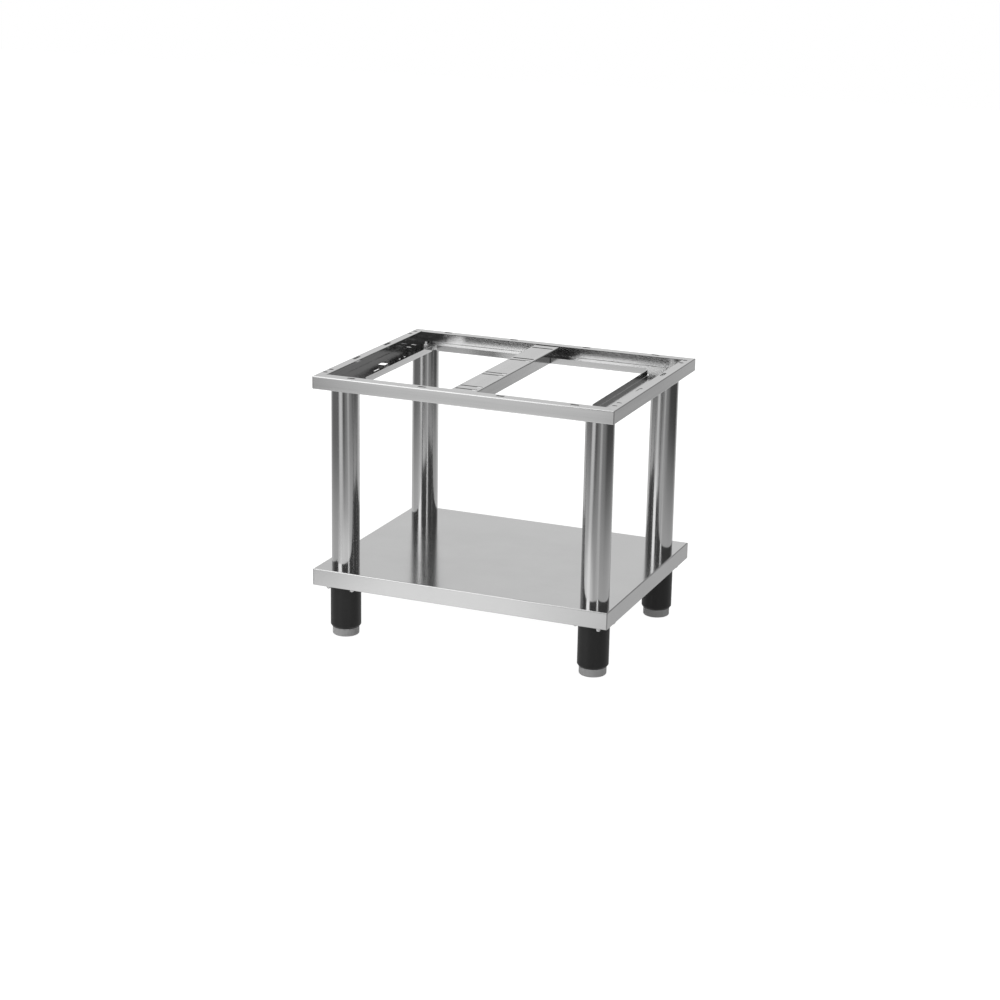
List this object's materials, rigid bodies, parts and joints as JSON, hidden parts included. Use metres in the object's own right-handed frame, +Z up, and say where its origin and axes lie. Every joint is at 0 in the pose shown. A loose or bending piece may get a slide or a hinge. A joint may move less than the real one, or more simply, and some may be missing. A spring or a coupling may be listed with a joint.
{
  "type": "oven stand",
  "caption": "Stainless steel oven stand with a slotted open top frame, round legs, a low shelf and levelling feet",
  "frame": {"origin": "centre of the four floor pads, on the floor, under the middle of the top frame", "axes": "+X to the right along the width, +Y to the rear, +Z up"},
  "size_m": [0.9, 0.706, 0.78],
  "materials": {
    "stainless": "brushed",
    "zinc_steel": "satin",
    "black_plastic": "matte",
    "grey_plastic": "matte",
    "pad_rubber": "matte"
  },
  "bodies": {
    "stand": {"frame_front_rail": "stainless", "frame_rear_rail": "stainless", "frame_left_rail": "stainless", "frame_right_rail": "stainless", "cross_member": "stainless", "leg_tube_front_left": "stainless", "leg_tube_front_right": "stainless", "leg_tube_rear_left": "stainless", "leg_tube_rear_right": "stainless", "shelf": "stainless", "shelf_stiffener": "stainless", "tie_rods": "zinc_steel", "top_washers": "zinc_steel", "top_nuts": "zinc_steel", "bottom_washers": "zinc_steel", "bottom_nuts": "zinc_steel", "foot_nuts": "zinc_steel", "foot_bolts": "zinc_steel", "cap_nuts": "zinc_steel", "spacer_bushes": "zinc_steel", "corner_plates": "zinc_steel", "tube_top_discs": "zinc_steel", "tube_bottom_discs": "zinc_steel", "foot_sleeve_front_left": "black_plastic", "foot_sleeve_front_right": "black_plastic", "foot_sleeve_rear_left": "black_plastic", "foot_sleeve_rear_right": "black_plastic"},
    "foot_front_left": {"foot_shoe_front_left": "grey_plastic", "foot_stem_front_left": "zinc_steel", "floor_pad_front_left": "pad_rubber"},
    "foot_front_right": {"foot_shoe_front_right": "grey_plastic", "foot_stem_front_right": "zinc_steel", "floor_pad_front_right": "pad_rubber"},
    "foot_rear_left": {"foot_shoe_rear_left": "grey_plastic", "foot_stem_rear_left": "zinc_steel", "floor_pad_rear_left": "pad_rubber"},
    "foot_rear_right": {"foot_shoe_rear_right": "grey_plastic", "foot_stem_rear_right": "zinc_steel", "floor_pad_rear_right": "pad_rubber"}
  },
  "joints": [
    {"name": "foot_front_left_screw", "type": "slide", "parent": "stand", "child": "foot_front_left", "axis": [0, 0, 1], "range_m": [-0.02, 0.015]},
    {"name": "foot_front_right_screw", "type": "slide", "parent": "stand", "child": "foot_front_right", "axis": [0, 0, 1], "range_m": [-0.02, 0.015]},
    {"name": "foot_rear_left_screw", "type": "slide", "parent": "stand", "child": "foot_rear_left", "axis": [0, 0, 1], "range_m": [-0.02, 0.015]},
    {"name": "foot_rear_right_screw", "type": "slide", "parent": "stand", "child": "foot_rear_right", "axis": [0, 0, 1], "range_m": [-0.02, 0.015]}
  ]
}
